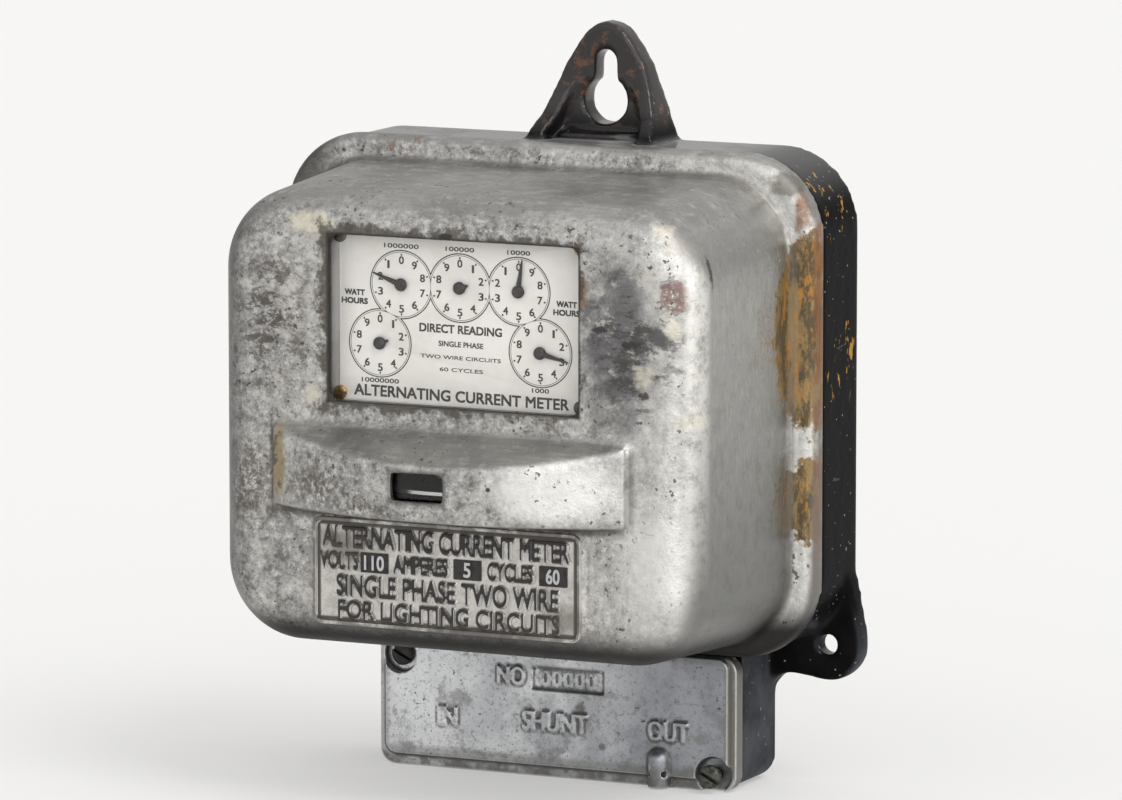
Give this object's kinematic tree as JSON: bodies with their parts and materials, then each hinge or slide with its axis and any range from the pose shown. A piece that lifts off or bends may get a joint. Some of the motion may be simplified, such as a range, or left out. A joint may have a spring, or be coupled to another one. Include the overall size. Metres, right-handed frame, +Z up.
{
  "type": "dial electric meter",
  "caption": "Wall-hung induction electric meter: cast aluminium cover with a dial window and a bowed disc housing, black base with keyhole lug, ears and terminal chamber.",
  "frame": {"origin": "on the flat back face, at the middle of the case width and height", "axes": "+X to the right seen from the front, +Y into the wall so that the front faces -Y, +Z up"},
  "size_m": [0.1818, 0.118, 0.2277],
  "materials": {
    "black_japan": "glossy baked black japan",
    "felt": "compressed felt",
    "steel_screw": "dull oxidised steel",
    "cast_aluminium": "weathered bare casting",
    "window_glass": "clear",
    "tinned_steel": "tinned",
    "brass": "lacquered",
    "rotor_aluminium": "bright",
    "bright_steel": "polished",
    "dial_white": "off-white enamel",
    "core_iron": "japanned laminations",
    "coil_varnish": "varnished cotton tape",
    "lead_insulation": "waxed cotton braid",
    "copper": "cotton-covered copper wire",
    "magnet_steel": "dark red lacquer",
    "hard_rubber": "hard rubber",
    "pointer_black": "blued steel"
  },
  "bodies": {
    "root": {"base": "black_japan", "cover_gasket": "felt", "cover_screws": "steel_screw", "register_front_plate": "tinned_steel", "register_back_plate": "brass", "register_pillars": "brass", "dial_plate": "dial_white", "dial_screws": "brass", "meter_frame": "black_japan", "frame_screws": "steel_screw", "lower_jewel_bearing": "brass", "upper_guide_bearing": "brass", "stator_core": "core_iron", "potential_coil": "coil_varnish", "current_coil_left": "copper", "current_coil_right": "copper", "drag_magnet_left": "magnet_steel", "drag_magnet_right": "magnet_steel", "magnet_bracket_left": "brass", "magnet_bracket_right": "brass", "magnet_screws": "steel_screw", "terminal_block": "hard_rubber", "terminal_in": "brass", "terminal_shunt": "brass", "terminal_out": "brass", "terminal_screws": "brass", "current_lead_in": "lead_insulation", "current_lead_out": "lead_insulation", "potential_lead": "lead_insulation"},
    "front_cover_body": {"front_cover": "cast_aluminium", "register_window_glass": "window_glass", "window_frame": "tinned_steel", "window_frame_screws": "brass", "disc_window_glass": "window_glass"},
    "terminal_cover_body": {"terminal_cover": "cast_aluminium", "terminal_cover_screws": "steel_screw"},
    "rotor_body": {"rotor_disc": "rotor_aluminium", "disc_hub": "brass", "rotor_spindle": "bright_steel", "worm": "bright_steel"},
    "worm_wheel_body": {"worm_wheel": "brass", "worm_wheel_arbor": "bright_steel"},
    "dial_1000_body": {"dial_1000_wheel": "brass", "dial_1000_arbor": "bright_steel", "dial_1000_pointer": "pointer_black"},
    "dial_10000_body": {"dial_10000_wheel": "brass", "dial_10000_arbor": "bright_steel", "dial_10000_pointer": "pointer_black"},
    "dial_100000_body": {"dial_100000_wheel": "brass", "dial_100000_arbor": "bright_steel", "dial_100000_pointer": "pointer_black"},
    "dial_1000000_body": {"dial_1000000_wheel": "brass", "dial_1000000_arbor": "bright_steel", "dial_1000000_pointer": "pointer_black"},
    "dial_10000000_body": {"dial_10000000_wheel": "brass", "dial_10000000_arbor": "bright_steel", "dial_10000000_pointer": "pointer_black"}
  },
  "joints": [
    {"name": "front_cover_slide", "type": "slide", "parent": "root", "child": "front_cover_body", "axis": [0, -1, 0], "range_m": [0, 0.11]},
    {"name": "terminal_cover_slide", "type": "slide", "parent": "root", "child": "terminal_cover_body", "axis": [0, -1, 0], "range_m": [0, 0.05]},
    {"name": "rotor_spin", "type": "hinge", "parent": "root", "child": "rotor_body", "pos_m": [0, -0.067, -0.019], "axis": [0, 0, 1], "continuous": true},
    {"name": "worm_wheel_spin", "type": "hinge", "parent": "root", "child": "worm_wheel_body", "pos_m": [0.018, -0.08, 0.0043], "axis": [0, 1, 0], "continuous": true},
    {"name": "dial_1000_spin", "type": "hinge", "parent": "root", "child": "dial_1000_body", "pos_m": [0.026, -0.087, 0.02154], "axis": [0, 1, 0], "continuous": true},
    {"name": "dial_10000_spin", "type": "hinge", "parent": "root", "child": "dial_10000_body", "pos_m": [0.019, -0.087, 0.0392], "axis": [0, 1, 0], "continuous": true},
    {"name": "dial_100000_spin", "type": "hinge", "parent": "root", "child": "dial_100000_body", "pos_m": [0, -0.087, 0.0392], "axis": [0, 1, 0], "continuous": true},
    {"name": "dial_1000000_spin", "type": "hinge", "parent": "root", "child": "dial_1000000_body", "pos_m": [-0.019, -0.087, 0.0392], "axis": [0, 1, 0], "continuous": true},
    {"name": "dial_10000000_spin", "type": "hinge", "parent": "root", "child": "dial_10000000_body", "pos_m": [-0.026, -0.087, 0.02154], "axis": [0, 1, 0], "continuous": true}
  ],
  "couplings": [
    {"joint": "worm_wheel_spin", "follows": "rotor_spin", "ratio": -0.01},
    {"joint": "dial_1000_spin", "follows": "rotor_spin", "ratio": 0.001},
    {"joint": "dial_10000_spin", "follows": "rotor_spin", "ratio": -0.0001},
    {"joint": "dial_100000_spin", "follows": "rotor_spin", "ratio": 0.00001},
    {"joint": "dial_1000000_spin", "follows": "rotor_spin", "ratio": -0.000001},
    {"joint": "dial_10000000_spin", "follows": "rotor_spin", "ratio": 0.0000001}
  ]
}
